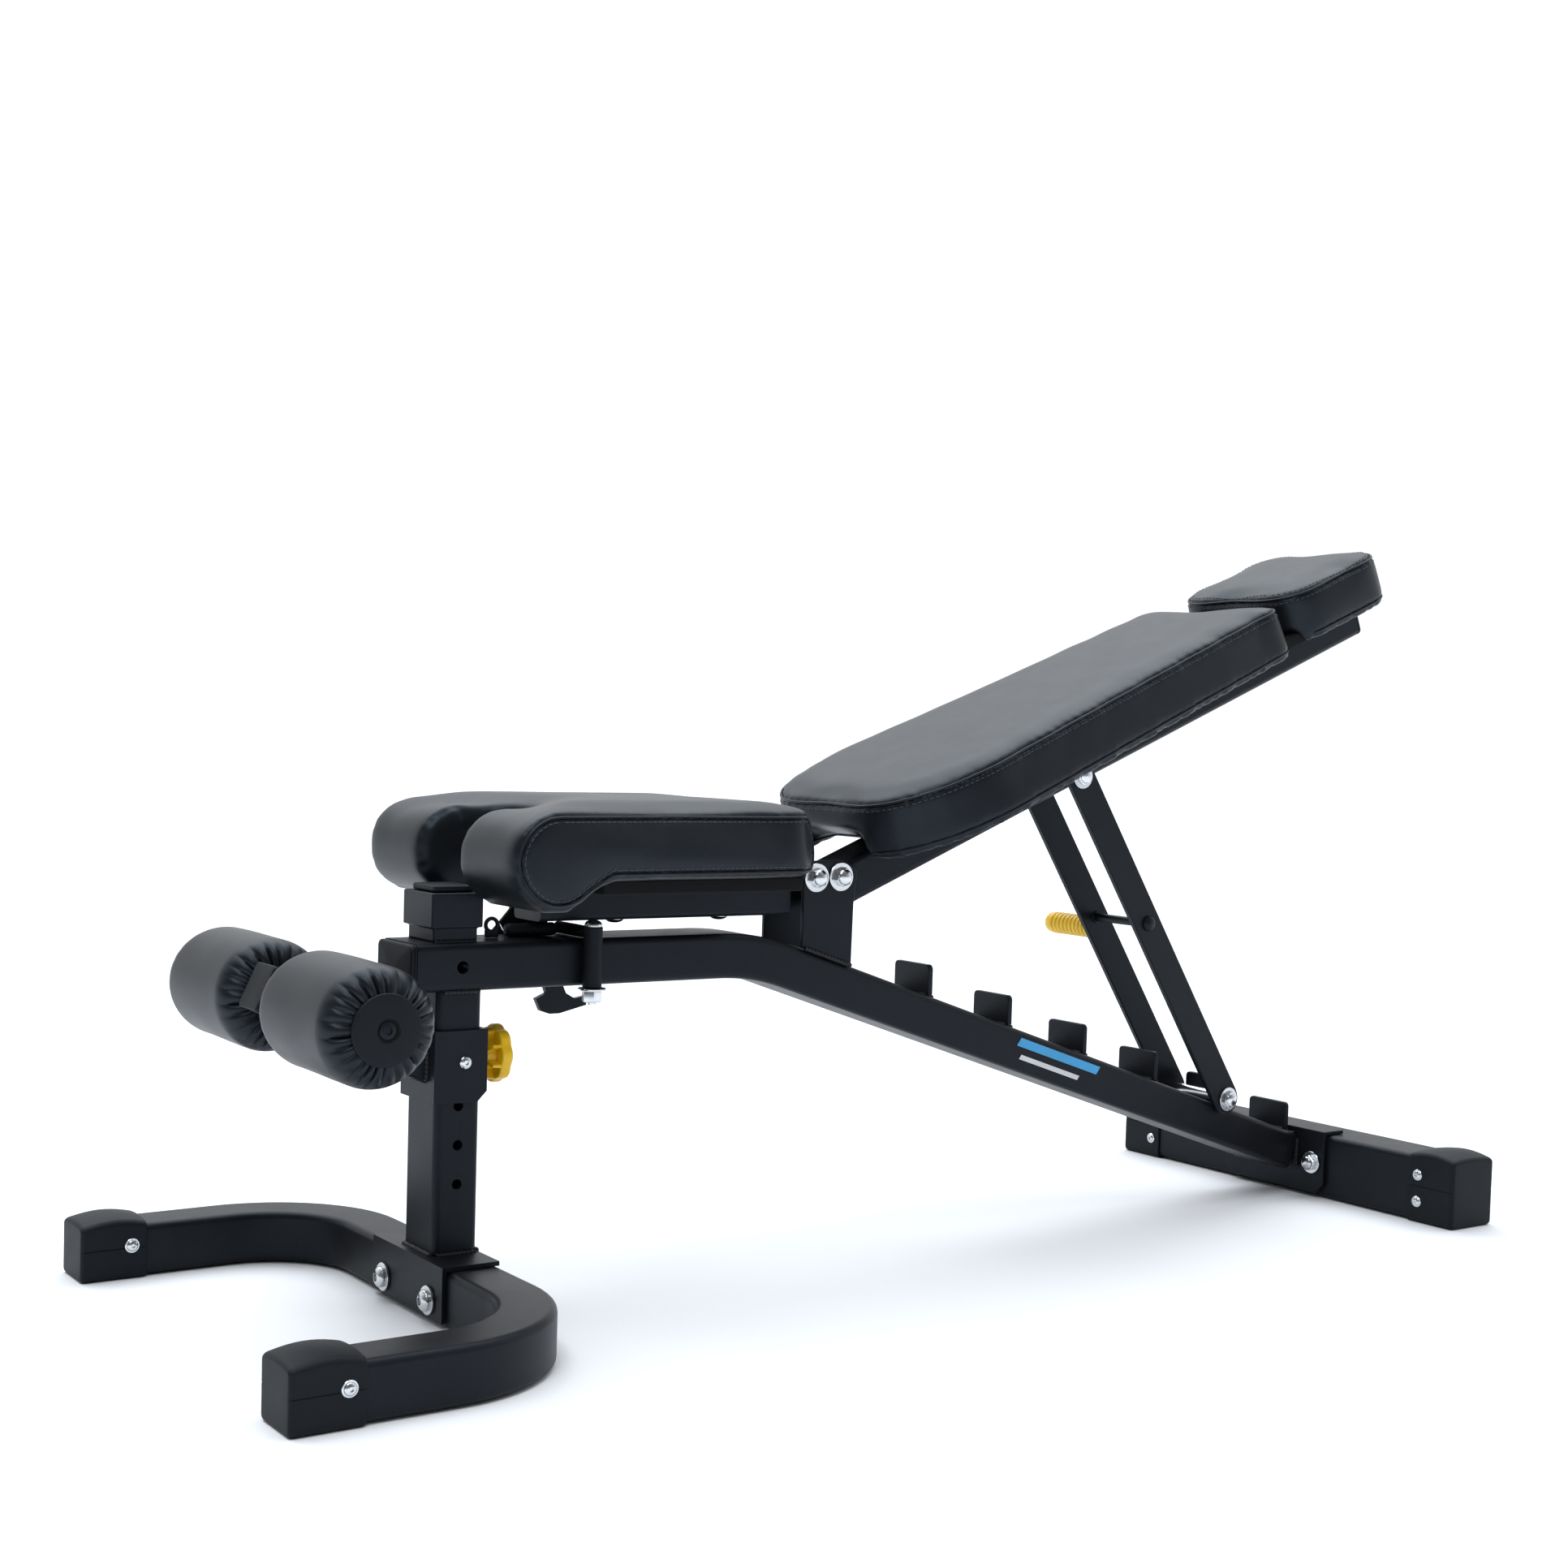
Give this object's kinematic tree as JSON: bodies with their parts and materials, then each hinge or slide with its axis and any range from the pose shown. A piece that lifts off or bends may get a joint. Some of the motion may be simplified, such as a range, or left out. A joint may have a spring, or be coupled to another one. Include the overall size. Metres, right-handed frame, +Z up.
{
  "type": "adjustable weight bench",
  "caption": "Adjustable weight bench with a tilting back rest on a ladder prop, a tilting seat and leg rollers on a sliding carriage",
  "frame": {"origin": "middle of the footprint, on the floor", "axes": "+X from the leg rollers to the head end, +Y to the sitter's right, +Z up"},
  "size_m": [1.3902, 0.542, 0.7387],
  "materials": {
    "frame": "satin black powder coat",
    "vinyl": "grained black vinyl, low sheen",
    "rubber": "matt moulded black",
    "zinc": "bright zinc plate",
    "yellow": "moulded yellow plastic",
    "board": "plywood backing under black cloth"
  },
  "bodies": {
    "frame": {"main_beam": "frame", "beam_plug": "rubber", "post": "frame", "front_foot": "frame", "front_cap_left": "rubber", "front_cap_right": "rubber", "saddle_bracket": "frame", "saddle_bolt_left": "zinc", "saddle_bolt_right": "zinc", "receiver": "frame", "receiver_plug": "rubber", "eye_bracket": "frame", "hinge_plate_left": "frame", "hinge_plate_right": "frame", "seat_pivot_bolt": "zinc", "back_pivot_bolt": "zinc", "ladder_tooth_1": "frame", "ladder_tooth_2": "frame", "ladder_tooth_3": "frame", "ladder_tooth_4": "frame", "ladder_tooth_5": "frame", "ladder_tooth_6": "frame", "rear_foot": "frame", "rear_cap_left": "rubber", "rear_cap_right": "rubber", "rear_flange": "frame", "rear_flange_bolt_left": "zinc", "rear_flange_bolt_right": "zinc", "latch_bracket": "frame", "latch_barrel": "zinc", "spring_cover": "rubber", "rest_bar": "frame", "rest_bar_bolt": "zinc"},
    "carriage": {"carriage_sleeve": "frame", "carriage_arm": "frame", "carriage_arm_cap": "rubber", "roller_shaft": "zinc", "pop_pin_barrel": "zinc", "pop_pin_spring": "zinc"},
    "pop_pin": {"pop_pin_rod": "zinc", "pop_pin_knob": "yellow"},
    "left_roller": {"roller_left": "vinyl", "roller_end_left": "rubber"},
    "right_roller": {"roller_right": "vinyl", "roller_end_right": "rubber"},
    "seat": {"seat_frame": "frame", "seat_arc_plate": "frame", "seat_board": "board", "seat_pad": "vinyl"},
    "seat_latch": {"latch_pin": "zinc", "latch_knob": "yellow"},
    "back_rest": {"back_tube": "frame", "back_board": "board", "back_pad": "vinyl", "head_pad": "vinyl", "prop_top_bolt": "zinc"},
    "prop": {"prop_frame": "frame", "prop_grip": "yellow", "prop_foot_pin": "zinc"}
  },
  "joints": [
    {"name": "carriage_slide", "type": "slide", "parent": "frame", "child": "carriage", "axis": [0, 0, 1], "range_m": [-0.102, 0]},
    {"name": "pop_pin_pull", "type": "slide", "parent": "carriage", "child": "pop_pin", "axis": [1, 0, 0], "range_m": [0, 0.01], "stiffness_N_per_m": 800, "springref_m": -0.01, "deforming": ["pop_pin_spring"]},
    {"name": "left_roller_spin", "type": "hinge", "parent": "carriage", "child": "left_roller", "pos_m": [-0.58814, 0, 0.274], "axis": [0, 1, 0], "continuous": true},
    {"name": "right_roller_spin", "type": "hinge", "parent": "carriage", "child": "right_roller", "pos_m": [-0.58814, 0, 0.274], "axis": [0, 1, 0], "continuous": true},
    {"name": "seat_tilt", "type": "hinge", "parent": "frame", "child": "seat", "pos_m": [-0.08314, 0, 0.373], "axis": [0, 1, 0], "range_deg": [0, 12]},
    {"name": "seat_latch_pull", "type": "slide", "parent": "frame", "child": "seat_latch", "axis": [0, 1, 0], "range_m": [0, 0.006], "stiffness_N_per_m": 800, "springref_m": -0.01},
    {"name": "back_tilt", "type": "hinge", "parent": "frame", "child": "back_rest", "pos_m": [-0.05444, 0, 0.3735], "axis": [0, -1, 0], "range_deg": [0, 66]},
    {"name": "prop_swing", "type": "hinge", "parent": "back_rest", "child": "prop", "pos_m": [0.24577, 0, 0.47447], "axis": [0, -1, 0], "range_deg": [-84, 0]}
  ],
  "couplings": [
    {"joint": "prop_swing", "follows": "back_tilt", "ratio": -1.27}
  ]
}
